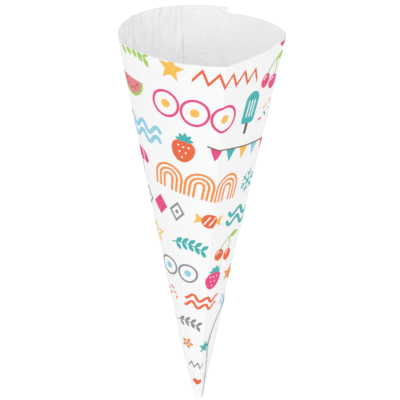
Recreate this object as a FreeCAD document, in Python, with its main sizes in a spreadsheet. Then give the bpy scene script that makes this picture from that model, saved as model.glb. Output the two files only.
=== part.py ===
import FreeCAD, Part
import math
import os
import Sketcher

# A cone rolled from one sheet of paper, with a glued lap at its back.
# The cone is drawn upright, with its axis on Z, its tip down and its lap towards +Y, and then laid on its lap.

os.makedirs("parts", exist_ok=True)
doc = FreeCAD.newDocument("ConePaperCup")

dims = doc.addObject("Spreadsheet::Sheet", "dims")
DRIVING = [
    ("paper", 0.15, "thickness of one layer of paper"),
    ("height", 152.0, "tip to the top of the mouth, along the axis"),
    ("mouth_radius", 31.9, "axis to the round back of the mouth"),
    ("tip_radius", 1.4, "blunt end of the tip"),
    ("tip_plug", 4.0, "length of the tip that is closed by the rolled layers"),
    ("left_angle", 168.0, "where the round back ends on the left"),
    ("left_bend_angle", 180.0, "direction of the start of the left turn's bend"),
    ("left_bend_radius", 31.8, "axis to the start of the left turn's bend"),
    ("left_turn_angle", 192.2, "direction of the middle of the left turn"),
    ("left_turn_radius", 31.2, "axis to the middle of the left turn"),
    ("cheek_angle", 207.0, "where the left turn ends and the flatter left front begins"),
    ("cheek_radius", 29.7, "axis to the start of the left front"),
    ("left_front_angle", 247.7, "direction of the middle of the left front"),
    ("left_front_radius", 28.4, "axis to the middle of the left front"),
    ("crease_angle", 286.2, "direction of the sharp crease, round the axis from +X"),
    ("crease_radius", 32.4, "axis to the crease, at the mouth"),
    ("crease_half_angle", 65.0, "half of the angle between the two faces at the crease"),
    ("flank_angle", 315.5, "direction of the middle of the flattened right front"),
    ("flank_radius", 27.4, "axis to the middle of the flattened right front"),
    ("turn_start_angle", 355.0, "where the flattened front ends and the tight right turn begins"),
    ("turn_start_radius", 30.2, "axis to the start of the right turn"),
    ("turn_middle_angle", 364.5, "direction of the middle of the right turn"),
    ("turn_middle_radius", 31.5, "axis to the middle of the right turn"),
    ("turn_end_angle", 374.0, "where the tight right turn meets the round back"),
    ("left_turn_bow", 24.0, "bend radius of the left turn"),
    ("left_front_bow", 48.3, "bend radius of the left front"),
    ("right_front_bow", 110.0, "bend radius of the flattened right front"),
    ("turn_bow", 16.0, "bend radius of the tight right turn"),
    ("outer_edge_top", 9.4, "outer free edge at the mouth, to the right of the axis"),
    ("outer_edge_low", 8.6, "outer free edge where it comes round the right side"),
    ("outer_edge_turn", 42.0, "height at which the outer free edge comes round the right side"),
    ("tuck_side", 4.5, "outer free edge on the front, to the right of the axis"),
    ("tuck_height", 25.0, "height of that place on the front"),
    ("inner_edge", 7.2, "inner free edge, to the left of the axis"),
    ("lap_step", 2.4, "how much lower the inner layer's rim is than the outer layer's"),
    ("left_drop", 0.7, "how much the rim has come down at the left"),
    ("right_drop", 1.8, "how much the rim has come down at the right"),
    ("rest_turn", 5.2, "how far to the left of the middle of the back the cup touches the ground, by its weight"),
]
for row, (alias, value, meaning) in enumerate(DRIVING, start=1):
    dims.set("A%d" % row, alias)
    dims.set("B%d" % row, str(value))
    dims.setAlias("B%d" % row, alias)
    dims.set("C%d" % row, meaning)
doc.recompute()


def evaluate(expression):
    """The number that an expression over the spreadsheet gives, as the first guess for a sketch."""
    value = dims.evalExpression(expression)
    return float(getattr(value, "Value", value))


def grown(radius, scale, grow):
    """A radius drawn at the mouth, taken down the cone by scale and then out by grow."""
    return "(dims.%s * (%s) + (%s))" % (radius, scale, grow)


def scale_at(level):
    """Size of the cone's section at a height, as a share of the section at the mouth."""
    top = "dims.mouth_radius"
    slope = "(dims.mouth_radius - dims.tip_radius) / dims.height"
    return "(dims.tip_radius + %s * (%s)) / %s" % (slope, level, top)


def place_point(sketch, name, geometry, end, radius, angle):
    """Holds one end of a line or arc at a distance and direction from the axis."""
    for axis, function in (("DistanceX", "cos"), ("DistanceY", "sin")):
        expression = "%s * %s(%s)" % (radius, function, angle)
        constraint = Sketcher.Constraint(axis, -1, 1, geometry, end, evaluate(expression))
        index = sketch.addConstraint(constraint)
        sketch.renameConstraint(index, name + axis[-1])
        sketch.setExpression("Constraints." + name + axis[-1], expression)


def bowed(start, finish, radius):
    """An arc from start to finish that bows out from the axis with the given radius."""
    chord = finish - start
    middle = (start + finish) * 0.5
    rise = radius - math.sqrt(radius ** 2 - chord.Length ** 2 / 4)
    outward = FreeCAD.Vector(chord.y, -chord.x, 0).normalize()
    return Part.Arc(start, middle + outward * rise, finish)


def section(name, level, grow, raised):
    """One closed section of the cone: a round back, a crease, a flattened right front and a tight turn.

    grow moves the whole section out or in. A raised section lies one more layer out from the flank round the
    back to the left, and comes down to the plain section where the left front begins.
    """
    scale = scale_at(level)
    over = "%s + dims.paper" % grow if raised else grow
    crease_grow = "(%s) / sin(dims.crease_half_angle)" % grow
    nodes = [
        ("turn_end", grown("mouth_radius", scale, over), "dims.turn_end_angle", grown("mouth_radius", scale, over)),
        ("left", grown("mouth_radius", scale, over), "dims.left_angle", grown("left_turn_bow", scale, over)),
        ("left_bend", grown("left_bend_radius", scale, over), "dims.left_bend_angle",
         grown("left_turn_bow", scale, over)),
        ("left_turn", grown("left_turn_radius", scale, over), "dims.left_turn_angle",
         grown("left_turn_bow", scale, grow)),
        ("cheek", grown("cheek_radius", scale, grow), "dims.cheek_angle", grown("left_front_bow", scale, grow)),
        ("left_front", grown("left_front_radius", scale, grow), "dims.left_front_angle",
         grown("left_front_bow", scale, grow)),
        ("crease", grown("crease_radius", scale, crease_grow), "dims.crease_angle",
         grown("right_front_bow", scale, grow)),
        ("flank", grown("flank_radius", scale, over), "dims.flank_angle",
         grown("right_front_bow", scale, over)),
        ("turn_start", grown("turn_start_radius", scale, over), "dims.turn_start_angle",
         grown("turn_bow", scale, over)),
        ("turn_middle", grown("turn_middle_radius", scale, over), "dims.turn_middle_angle",
         grown("turn_bow", scale, over)),
    ]
    if raised:
        step = ("flank_foot", grown("flank_radius", scale, grow), "dims.flank_angle", None)
        nodes.insert([node[0] for node in nodes].index("flank"), step)
    sketch = doc.addObject("Sketcher::SketchObject", name)
    sketch.setExpression("Placement.Base.z", level)
    points = []
    for _, radius, angle, _ in nodes:
        reach = evaluate(radius)
        turn = math.radians(evaluate(angle))
        points.append(FreeCAD.Vector(reach * math.cos(turn), reach * math.sin(turn), 0))
    for index, (_, _, _, bow) in enumerate(nodes):
        start = points[index]
        finish = points[(index + 1) % len(points)]
        shape = bowed(start, finish, evaluate(bow)) if bow else Part.LineSegment(start, finish)
        sketch.addGeometry(shape, False)
    for index, (label, radius, angle, bow) in enumerate(nodes):
        following = (index + 1) % len(nodes)
        sketch.addConstraint(Sketcher.Constraint("Coincident", index, 2, following, 1))
        place_point(sketch, label, index, 1, radius, angle)
        if bow:
            number = sketch.addConstraint(Sketcher.Constraint("Radius", index, evaluate(bow)))
            sketch.renameConstraint(number, label + "Bow")
            sketch.setExpression("Constraints." + label + "Bow", bow)
    return sketch


def cone(name, low, high, grow, raised):
    """A solid cone between two heights, ruled between its sections."""
    loft = doc.addObject("Part::Loft", name)
    loft.Sections = [section(name + "Low", low, grow, raised), section(name + "High", high, grow, raised)]
    loft.Solid = True
    loft.Ruled = True
    return loft


def profile(name, corners, sideways):
    """A block with the given outline in X and Z, on the back of the cone (sideways 1) or its front (-1)."""
    sketch = doc.addObject("Sketcher::SketchObject", name + "Outline")
    sketch.Placement = FreeCAD.Placement(FreeCAD.Vector(0, 0, 0), FreeCAD.Rotation(FreeCAD.Vector(1, 0, 0), 90))
    points = [FreeCAD.Vector(evaluate(across), evaluate(up), 0) for across, up in corners]
    for index, start in enumerate(points):
        sketch.addGeometry(Part.LineSegment(start, points[(index + 1) % len(points)]), False)
    for index, corner in enumerate(corners):
        following = (index + 1) % len(corners)
        sketch.addConstraint(Sketcher.Constraint("Coincident", index, 2, following, 1))
        for axis, expression in zip(("DistanceX", "DistanceY"), corner):
            constraint = Sketcher.Constraint(axis, -1, 1, index, 1, evaluate(expression))
            number = sketch.addConstraint(constraint)
            alias = "corner%d%s" % (index, axis[-1])
            sketch.renameConstraint(number, alias)
            sketch.setExpression("Constraints." + alias, expression)
    block = doc.addObject("Part::Extrusion", name)
    block.Base = sketch
    block.DirMode = "Custom"
    block.Dir = FreeCAD.Vector(0, sideways, 0)
    block.Solid = True
    block.setExpression("LengthFwd", "dims.mouth_radius * 2")
    return block


def join(name, shapes):
    """One solid made of several."""
    fused = doc.addObject("Part::MultiFuse", name)
    fused.Shapes = shapes
    fused.Refine = True
    return fused


def cut(name, base, tool):
    """The base without the tool."""
    rest = doc.addObject("Part::Cut", name)
    rest.Base = base
    rest.Tool = tool
    return rest


BEYOND = "dims.mouth_radius * 2"
ABOVE = "(dims.height + dims.mouth_radius)"
CREASE_SIDE = "dims.crease_radius * cos(dims.crease_angle)"
FLANK_SIDE = "dims.flank_radius * cos(dims.flank_angle)"


def front_generator(level):
    """A straight line down the cone between the crease and the flank, to the right of the axis."""
    return "(%s + %s) / 2 * %s" % (CREASE_SIDE, FLANK_SIDE, scale_at(level))


def outer_form():
    """The outside: the plain cone, with the outer layer on it as far as its free edge."""
    plain = cone("PlainCone", "0", "dims.height", "0", False)
    layer = cone("OuterLayer", "0", "dims.height", "0", True)
    lean = "(dims.outer_edge_top - dims.outer_edge_low) / (dims.height - dims.outer_edge_turn)"
    edge_above = "dims.outer_edge_top + %s * dims.mouth_radius" % lean
    back = profile("BeyondOuterEdge", [
        ("dims.outer_edge_low", "dims.outer_edge_turn"),
        (BEYOND, "dims.outer_edge_turn"),
        (BEYOND, ABOVE),
        (edge_above, ABOVE),
    ], 1)
    front = profile("BeyondTuck", [
        (front_generator("0") + " * 0.5", "-dims.tip_plug"),
        (front_generator("0") + " * 1.5", "-dims.tip_plug"),
        ("dims.tuck_side", "dims.tuck_height"),
        ("dims.outer_edge_low", "dims.outer_edge_turn"),
        (BEYOND, "dims.outer_edge_turn"),
        (BEYOND, ABOVE),
        (front_generator(ABOVE), ABOVE),
    ], -1)
    trimmed = cut("TrimmedLayer", layer, join("BeyondFreeEdge", [back, front]))
    return join("Outside", [plain, trimmed])


def inner_form():
    """The space inside: one layer in from the outside, and wider to the left of the inner free edge."""
    plain = cone("PlainSpace", "dims.tip_plug", ABOVE, "-dims.paper", False)
    wide = cone("WideSpace", "dims.tip_plug", ABOVE, "-dims.paper", True)
    ledge = "(dims.height - dims.lap_step)"
    back = profile("BeyondInnerEdge", [
        ("-dims.inner_edge", "0"),
        (BEYOND, "0"),
        (BEYOND, ABOVE),
        ("dims.outer_edge_top", ABOVE),
        ("dims.outer_edge_top", ledge),
        ("-dims.inner_edge", ledge),
    ], 1)
    front = profile("RightOfCrease", [
        (front_generator("0"), "0"),
        (BEYOND, "0"),
        (BEYOND, ABOVE),
        (front_generator(ABOVE), ABOVE),
    ], -1)
    trimmed = cut("TrimmedSpace", wide, join("RightOfInnerEdge", [back, front]))
    return join("Inside", [plain, trimmed])


def rim_cut():
    """What lies above the rim, which comes down a little all the way round and steps up again at the lap."""
    left = "(dims.height - dims.left_drop)"
    right = "(dims.height - dims.right_drop)"
    back = profile("AboveBackRim", [
        ("-dims.mouth_radius * 1.1", left),
        ("dims.outer_edge_top", "dims.height"),
        ("dims.outer_edge_top", "dims.height - dims.lap_step"),
        ("dims.mouth_radius * 1.1", right),
        (BEYOND, ABOVE),
        ("-" + BEYOND, ABOVE),
    ], 1)
    front = profile("AboveFrontRim", [
        ("-dims.mouth_radius * 1.1", left),
        ("dims.mouth_radius * 1.1", right),
        (BEYOND, ABOVE),
        ("-" + BEYOND, ABOVE),
    ], -1)
    return join("AboveRim", [back, front])


def lay_on_lap(cup):
    """Turns the cup so that its heavy lap side lies along +X on the ground, with its mouth towards +X."""
    half_angle = "atan((dims.mouth_radius - dims.tip_radius) / dims.height)"
    mouth_end = "dims.height * cos(%s) + dims.mouth_radius * sin(%s)" % (half_angle, half_angle)
    tip_end = "dims.tip_radius * sin(%s)" % half_angle
    axis_level = FreeCAD.Rotation(FreeCAD.Vector(0, -1, 0), FreeCAD.Vector(0, 0, -1), FreeCAD.Vector(1, 0, 0), "ZXY")
    lean = FreeCAD.Rotation(FreeCAD.Vector(0, -1, 0), evaluate(half_angle))
    rolled = FreeCAD.Rotation(FreeCAD.Vector(0, 0, 1), -evaluate("dims.rest_turn"))
    cup.Placement = FreeCAD.Placement(FreeCAD.Vector(0, 0, 0), lean.multiply(axis_level).multiply(rolled))
    cup.setExpression("Placement.Base.x", "(%s - (%s)) / 2" % (tip_end, mouth_end))
    cup.setExpression("Placement.Base.z", "(dims.tip_radius + dims.paper) * cos(%s)" % half_angle)


walls = cut("Walls", outer_form(), inner_form())
cup = cut("Cup", walls, rim_cut())
cup.Label = "cup"
lay_on_lap(cup)
doc.recompute()

for item in doc.Objects:
    if "Invalid" in item.State or "Error" in item.State:
        raise RuntimeError("%s is %s" % (item.Name, item.State))
if cup.Shape.isNull() or not cup.Shape.isValid() or len(cup.Shape.Solids) != 1:
    raise RuntimeError("cup isn't one valid solid")

cup.Shape.exportStep("parts/%s.step" % cup.Label)
print(cup.Label, cup.Shape.BoundBox, "volume", cup.Shape.Volume, "faces", len(cup.Shape.Faces))
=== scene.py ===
# %% [markdown]
# # A cone paper cup
# A paper cone is one flat blank, printed while it lies flat and then rolled up and glued along a lap.
# We build it the same way: first the rolled form, then the flat blank with its print, and last the rolling,
# which carries every point of the flat print to its place on the cone. Print made this way can't stretch or slide.

import math

import bpy
import numpy as np
from mathutils import Matrix, Vector
from mathutils.geometry import delaunay_2d_cdt


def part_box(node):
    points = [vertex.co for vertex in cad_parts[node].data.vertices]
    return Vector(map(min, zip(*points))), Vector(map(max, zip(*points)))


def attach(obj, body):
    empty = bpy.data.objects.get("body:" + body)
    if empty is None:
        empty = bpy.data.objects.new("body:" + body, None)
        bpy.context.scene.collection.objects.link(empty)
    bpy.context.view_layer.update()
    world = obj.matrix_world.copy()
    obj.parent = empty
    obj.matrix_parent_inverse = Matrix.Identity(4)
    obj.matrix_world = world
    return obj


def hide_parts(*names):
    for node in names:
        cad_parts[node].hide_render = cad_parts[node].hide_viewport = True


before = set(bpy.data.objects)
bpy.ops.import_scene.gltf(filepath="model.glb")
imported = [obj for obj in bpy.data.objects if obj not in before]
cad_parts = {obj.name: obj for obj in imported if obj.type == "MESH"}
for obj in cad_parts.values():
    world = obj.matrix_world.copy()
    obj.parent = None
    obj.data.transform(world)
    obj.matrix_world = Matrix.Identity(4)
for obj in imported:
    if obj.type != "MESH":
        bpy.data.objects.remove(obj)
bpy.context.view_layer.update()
CUP_LOW, CUP_HIGH = (np.array(corner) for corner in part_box("cup"))
print("cup box in metres", CUP_LOW, CUP_HIGH)

# %% [markdown]
# ## The sizes
# The cup is worked out upright, in millimetres, with its axis on Z, its tip at zero and its lap towards +Y.
# The mouth isn't a circle. It is round at the back, has a sharp crease at the front, is almost flat to the right
# of the crease and turns tightly at the right end. Each place on it has a direction round the axis in degrees,
# a distance from the axis, and the bend radius of the paper from there to the next place.

# %% Sizes of the cup
MM = 0.001
PAPER = 0.15
HEIGHT = 152.0
TIP_RADIUS = 1.4
MOUTH_RADIUS = 31.9
LAP_DIRECTION = 90.0
CREASE_DIRECTION = -73.8
REST_TURN = 5.2
MOUTH = [
    (14.0, MOUTH_RADIUS, MOUTH_RADIUS),
    (168.0, MOUTH_RADIUS, 24.0),
    (180.0, 31.8, 24.0),
    (192.2, 31.2, 24.0),
    (207.0, 29.7, 48.3),
    (247.7, 28.4, 48.3),
    (286.2, 32.4, 110.0),
    (315.5, 27.4, 110.0),
    (355.0, 30.2, 16.0),
    (364.5, 31.5, 16.0),
]
SLOPE = (MOUTH_RADIUS - TIP_RADIUS) / HEIGHT
HALF_ANGLE = math.atan(SLOPE)
APEX_HEIGHT = -TIP_RADIUS / SLOPE
print("half angle of the cone in degrees", round(math.degrees(HALF_ANGLE), 2))

# %% [markdown]
# ## The form of the mouth
# Each stretch of the mouth is an arc. Its centre lies behind the middle of its chord, by the bend radius times
# the cosine of half the arc. All arcs are sampled at once, as one array.

# %% Outline of the mouth
def mouth_outline(samples=500):
    """Points round the mouth, counter-clockwise from above: centre plus radius times the turning direction."""
    direction = np.radians([place[0] for place in MOUTH])
    reach = np.array([place[1] for place in MOUTH])
    bend = np.array([place[2] for place in MOUTH])
    start = reach[:, None] * np.stack([np.cos(direction), np.sin(direction)], 1)
    chord = np.roll(start, -1, axis=0) - start
    length = np.linalg.norm(chord, axis=1)
    outward = np.stack([chord[:, 1], -chord[:, 0]], 1) / length[:, None]
    half = np.arcsin(length / (2 * bend))
    centre = start + chord / 2 - outward * (bend * np.cos(half))[:, None]
    first = np.arctan2(start[:, 1] - centre[:, 1], start[:, 0] - centre[:, 0])
    angle = first[:, None] + 2 * half[:, None] * np.arange(samples) / samples
    points = centre[:, None] + bend[:, None, None] * np.stack([np.cos(angle), np.sin(angle)], 2)
    return points.reshape(-1, 2)


outline = mouth_outline()
print("points round the mouth", len(outline))

# %% [markdown]
# ## Unrolling the cone
# Paper bends but doesn't stretch, so the cone is a fan of straight lines from one apex. On the flat blank the
# same lines fan out from a corner. Two numbers name each point on both: `far`, its distance from the apex along
# its line, and `fan`, the flat angle of that line. The fan angle is the sum of the small angles between
# neighbouring lines. It starts at the middle of the lap and grows clockwise, as the sheet is rolled.

# %% Table of the lines of the cone
def line_table():
    """Unit directions of the lines from the apex, with their fan angles and their directions round the axis."""
    points = outline[::-1]
    round_axis = np.degrees(np.arctan2(points[:, 1], points[:, 0]))
    first = np.argmin(np.abs(round_axis - LAP_DIRECTION))
    points = np.roll(points, -first, axis=0)
    points = np.vstack([points, points[:1]])
    rays = np.column_stack([points, np.full(len(points), HEIGHT - APEX_HEIGHT)])
    rays /= np.linalg.norm(rays, axis=1)[:, None]
    between = 2 * np.arcsin(np.linalg.norm(np.diff(rays, axis=0), axis=1) / 2)
    fan = np.concatenate([[0], np.cumsum(between)])
    turned = np.degrees(np.unwrap(np.arctan2(points[:, 1], points[:, 0])))
    return fan, rays, turned


FAN, RAYS, TURNED = line_table()
FULL = FAN[-1]


def fan_at(direction):
    """Fan angle of the line in a direction round the axis, in degrees. It grows as the direction falls from 90."""
    return np.interp(-np.asarray(direction, float), -TURNED, FAN)


CREASE = float(fan_at(CREASE_DIRECTION))
RIGHT = float(fan_at(0.0))
LEFT = float(fan_at(-180.0))
print("flat angle of the whole cone in degrees", round(math.degrees(FULL), 1))

# %% [markdown]
# ## The edges of the blank
# The rim comes down a little all the way round, so it steps where the sheet meets itself again. The lap is a
# strip of even width, so its two free edges wander round the cone as it narrows. Near the tip the outer one
# comes round the right side to the front, where a small tuck of the under layer shows beside it.

# %% Edges of the blank
LAP_INSIDE = 7.2
INNER_LIMIT = 0.23
RIM_DROP = [(-0.05, 3.0), (RIGHT, 1.8), (CREASE, 1.6), (float(fan_at(-137.0)), 1.7), (LEFT, 0.9),
            (float(fan_at(-225.0)), 0.1), (FULL + 0.06, 0.5)]
OUTER_EDGE = [(-2.0, -12.0), (5.0, -18.0), (13.0, -27.0), (20.0, -38.0), (26.0, -46.0), (30.0, -38.0), (36.0, -20.0),
              (42.0, 4.0), (50.0, 36.0), (64.0, 55.0), (100.0, 66.5), (HEIGHT, 72.9)]


def smooth_between(value, places):
    """A smooth curve through (place, height) pairs: cubic steps with slopes taken from the neighbours."""
    place, height = np.array(places, float).T
    slope = np.gradient(height, place)
    index = np.clip(np.searchsorted(place, value) - 1, 0, len(place) - 2)
    width = place[index + 1] - place[index]
    part = np.clip((value - place[index]) / width, 0, 1)
    rise = part * part * (3 - 2 * part)
    bend_in = part * (1 - part) ** 2 * slope[index] * width
    bend_out = part * part * (1 - part) * slope[index + 1] * width
    return height[index] * (1 - rise) + height[index + 1] * rise + bend_in - bend_out


def height_of(far, fan):
    """Height above the tip: the apex height plus the upright part of the distance along the line."""
    return APEX_HEIGHT + far * np.interp(np.mod(fan, FULL), FAN, RAYS[:, 2])


def far_at_height(height, fan):
    """Distance from the apex at which a line reaches a height."""
    return (height - APEX_HEIGHT) / np.interp(np.mod(fan, FULL), FAN, RAYS[:, 2])


def rim_far(fan):
    """Distance from the apex to the rim."""
    return far_at_height(HEIGHT - smooth_between(fan, RIM_DROP), fan)


def inner_edge(far):
    """Fan angle of the inner free edge: the lap's half width seen from the apex, up to a share of the turn."""
    return -np.minimum(np.arcsin(np.clip(LAP_INSIDE / far, 0, 1)), INNER_LIMIT * FULL)


def outer_edge(far):
    """Fan angle of the outer free edge, one full turn further on than its direction round the axis."""
    height = height_of(far, FULL)
    return FULL + fan_at(smooth_between(height, OUTER_EDGE))


print("rim from the apex", np.round(rim_far(np.array([0.0, RIGHT, CREASE, LEFT, FULL])), 1))

# %% [markdown]
# ## The hand-made unevenness
# A rolled cone is never perfect. The paper has slow waves, soft ridges that run along the lines inside the mouth,
# a rim that leans in a little on the left, a crumpled tip, and an inner free edge that curls into the mouth. Each
# is a sum of sines or soft bumps of the two coordinates, of some tenths of a millimetre, along the surface's
# normal. Round the tip the outer layer is loose and stands clear of the layer under it, so its free edge throws
# a shadow.

# %% Waves, ridges and the loose end of the paper
rng = np.random.default_rng(11)
WAVES = 22
WAVE_TURN = rng.uniform(0, np.pi, WAVES)
WAVE_LENGTH = rng.uniform(9.0, 34.0, WAVES)
WAVE_START = rng.uniform(0, 2 * np.pi, WAVES)
RIDGES = [(0.800, 0.008, 0.16), (0.822, 0.006, -0.11), (0.841, 0.006, 0.14), (0.858, 0.005, -0.12),
          (0.874, 0.006, 0.11), (0.891, 0.006, -0.13), (0.908, 0.007, 0.12), (0.926, 0.006, -0.12),
          (0.943, 0.005, 0.12), (0.956, 0.005, -0.15), (0.560, 0.014, -0.10), (0.330, 0.016, 0.09),
          (0.180, 0.014, -0.08)]
SLOW_SIZE = 0.34
RIM_FADE = 26.0
RIDGE_GAIN = 1.6
RIM_WAVE_SIZE, RIM_WAVE_PACE, RIM_WAVE_START = 0.20, 31.0, 0.6
LEAN_SIZE, LEAN_WIDTH = -0.55, 0.17
CRUMPLE_SIZE, CRUMPLE_FROM, CRUMPLE_FADE = 0.26, 14.0, 14.0
CURL_SIZE, CURL_CHANGE, CURL_WIDTH = -0.32, 0.07, 3.0
LOOSE_LIFT = 0.85
LOOSE_HEIGHT = 52.0


def soft_step(value, low, high):
    """Rises from nothing at low to one at high, flat at both ends."""
    part = np.clip((value - low) / (high - low), 0, 1)
    return part * part * (3 - 2 * part)


def soft_waves(across, along):
    """Slow uneven waves: a mean of sines that run in different directions over the flat blank."""
    phase = across[:, None] * np.cos(WAVE_TURN) + along[:, None] * np.sin(WAVE_TURN)
    return np.sin(2 * np.pi * phase / WAVE_LENGTH + WAVE_START).mean(1)


def unevenness(far, fan):
    """How far the paper stands out of the true cone, in millimetres."""
    across = far * np.sin(fan)
    along = far * np.cos(fan)
    depth = rim_far(fan) - far
    slow = SLOW_SIZE * soft_waves(across, along)
    near_rim = np.exp(-np.clip(depth, 0, None) / RIM_FADE)
    ridges = sum(size * np.exp(-((fan / FULL - place) / width) ** 2) for place, width, size in RIDGES)
    rim_wave = RIM_WAVE_SIZE * np.sin(fan * RIM_WAVE_PACE + RIM_WAVE_START) * near_rim * np.clip(fan / 0.15, 0, 1)
    lean = LEAN_SIZE * near_rim * np.exp(-((fan - LEFT) / LEAN_WIDTH) ** 2)
    near_tip = np.exp(-np.clip(far - CRUMPLE_FROM, 0, None) / CRUMPLE_FADE)
    crumple = CRUMPLE_SIZE * soft_waves(across * 4.3 + 9.0, along * 2.6) * near_tip
    near_edge = np.exp(-((fan - inner_edge(far)) * far / CURL_WIDTH) ** 2)
    curl = (CURL_SIZE + CURL_CHANGE * np.sin(far * 0.5)) * near_edge * soft_step(far, 60.0, 110.0)
    return slow + ridges * near_rim * RIDGE_GAIN + rim_wave + lean + crumple + curl


def looseness(far, fan):
    """How far the outer layer stands off round the tip: most at the right side, less again at its free edge."""
    height = height_of(far, fan)
    along = (1 - soft_step(height, 34.0, LOOSE_HEIGHT)) * soft_step(height, -14.0, 10.0)
    beyond_back = soft_step(fan, FULL, FULL + 0.24)
    to_edge = soft_step(outer_edge(far) - fan, 0.0, 0.28)
    return LOOSE_LIFT * along * beyond_back * (0.45 + 0.55 * to_edge)


# %% [markdown]
# ## Rolling
# `roll` turns blank coordinates into a place on the lying cup. The sheet lies one layer further out once it has
# gone round the left side, because there it starts to lie on its own beginning. The cup is then laid on its
# lap: the upright height becomes the length along the floor, tilted by the cone's half angle.

# %% Rolling the blank
LAYER_GAP = 0.03
SLOPE_STEP = 0.12
TIP_BEND = 0.9
TIP_BEND_LENGTH = 26.0


def lift(fan):
    """How far out the sheet lies: nothing up to the crease, one layer and a hair's gap after the left side."""
    part = np.clip((fan - CREASE) / (LEFT - CREASE), 0, 1)
    return (PAPER + LAYER_GAP) * part * part * (3 - 2 * part)


def lay_down(upright):
    """Turns an upright place in millimetres into the lying cup's place in metres.

    The tip is bent to the right, by a share that falls with the square of the height. The cup is then turned a
    little about its axis, because its weight rolls it to the left of the lap's middle.
    """
    cos, sin = math.cos(HALF_ANGLE), math.sin(HALF_ANGLE)
    rest_cos, rest_sin = math.cos(math.radians(REST_TURN)), math.sin(math.radians(REST_TURN))
    height = upright[:, 2]
    right = upright[:, 0] + TIP_BEND * np.clip(1 - height / TIP_BEND_LENGTH, 0, 1) ** 2
    across = right * rest_cos + upright[:, 1] * rest_sin
    back = upright[:, 1] * rest_cos - right * rest_sin
    along = height * cos + back * sin - (HEIGHT * cos + (MOUTH_RADIUS - TIP_RADIUS) * sin) / 2
    level = height * sin - back * cos + (TIP_RADIUS + PAPER) * cos
    return np.column_stack([along, -across, level]) * MM


def roll(far, fan, out=0.0):
    """Place on the cup: the apex plus the distance along the line, moved out along the line's normal."""
    around = np.mod(fan, FULL)
    ray = np.column_stack([np.interp(around, FAN, RAYS[:, axis]) for axis in range(3)])
    before = np.column_stack([np.interp(np.clip(around - 1e-4, 0, FULL), FAN, RAYS[:, axis]) for axis in range(3)])
    after = np.column_stack([np.interp(np.clip(around + 1e-4, 0, FULL), FAN, RAYS[:, axis]) for axis in range(3)])
    normal = np.cross(ray, after - before)
    normal /= np.linalg.norm(normal, axis=1)[:, None]
    normal *= np.sign((normal[:, :2] * ray[:, :2]).sum(1))[:, None]
    moved = lift(fan) + looseness(far, fan) + unevenness(far, fan) + out
    upright = ray * far[:, None] + normal * moved[:, None]
    upright[:, 2] += APEX_HEIGHT
    return lay_down(upright)


def facing(far, fan, side):
    """Outward normal of the rolled sheet, from its slopes just beside each point, on the given side of it."""
    turn = SLOPE_STEP / far
    centre = fan + side * turn
    along = roll(far + SLOPE_STEP, centre) - roll(far - SLOPE_STEP, centre)
    across = roll(far, centre + turn) - roll(far, centre - turn)
    normal = np.cross(along, across)
    return normal / np.linalg.norm(normal, axis=1)[:, None]


probe = roll(np.array([150.0, 150.0]), np.array([CREASE, FULL]))
print("crease and lap near the rim, in metres", np.round(probe, 4).tolist())

# %% [markdown]
# ## The print, one motif at a time
# The cup is printed all over in bright flat inks. It carries a plain generic design of sweets, fruit, leaves and
# bands, and each motif is worked out from circles, arcs, waves and straight sides. That keeps every edge of the
# print sharp at any size. A motif is a list of closed outlines, each with an ink, drawn in millimetres round its
# own middle with y towards the rim. Later outlines cover earlier ones, and the ink named "paper" leaves the
# paper bare.

# %% Inks
INKS = {
    "paper": (244, 244, 244),
    "tangerine": (232, 104, 62),
    "orange": (241, 146, 66),
    "teal": (64, 178, 176),
    "sky": (146, 205, 224),
    "lime": (166, 204, 92),
    "pink": (229, 74, 128),
    "salmon": (232, 130, 138),
    "yellow": (246, 190, 84),
    "cocoa": (112, 88, 80),
    "grey": (142, 142, 145),
    "olive": (198, 202, 152),
}
print("inks", ", ".join(INKS))

# %% Outlines that motifs are made of
LINE = 0.75


def disc(radius, centre=(0, 0)):
    """A circle: centre plus radius times the turning direction, with a point every half a millimetre."""
    turn = np.linspace(0, 2 * np.pi, max(int(2 * np.pi * radius / 0.5), 10), endpoint=False)
    return np.column_stack([centre[0] + radius * np.cos(turn), centre[1] + radius * np.sin(turn)])


def stroke(path, width=LINE, closed=False):
    """A line of even width: the path moved to both sides by half the width, with round ends."""
    path = np.asarray(path, float)
    run = np.gradient(path, axis=0)
    if closed:
        run = np.roll(path, -1, axis=0) - np.roll(path, 1, axis=0)
    run /= np.linalg.norm(run, axis=1)[:, None]
    side = np.column_stack([-run[:, 1], run[:, 0]]) * width / 2
    if closed:
        return path + side, path - side
    cap = np.linspace(0, np.pi, 7)[1:-1, None]
    end = path[-1] + side[-1] * np.cos(cap) + run[-1] * width / 2 * np.sin(cap)
    start = path[0] - side[0] * np.cos(cap) - run[0] * width / 2 * np.sin(cap)
    return np.vstack([path + side, end, (path - side)[::-1], start])


def loop(ink, path, width=LINE):
    """An outline drawn as a line: the outer side in ink, and the inner side bare again."""
    one, other = stroke(path, width, closed=True)
    wide, narrow = (one, other) if np.ptp(one[:, 0]) > np.ptp(other[:, 0]) else (other, one)
    return [(ink, wide), ("paper", narrow)]


def resample(corners, spacing=0.6, closed=True):
    """Straight sides between corners, with points at an even spacing."""
    corners = np.asarray(corners, float)
    if closed:
        corners = np.vstack([corners, corners[:1]])
    length = np.concatenate([[0], np.cumsum(np.linalg.norm(np.diff(corners, axis=0), axis=1))])
    count = max(int(length[-1] / spacing), 3)
    place = np.linspace(0, length[-1], count + 1)
    place = np.unique(np.concatenate([place, length]))
    keep = np.concatenate([[True], np.diff(place) > spacing * 0.25])
    place = place[keep]
    if closed:
        place = place[:-1]
    return np.column_stack([np.interp(place, length, corners[:, 0]), np.interp(place, length, corners[:, 1])])


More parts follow.
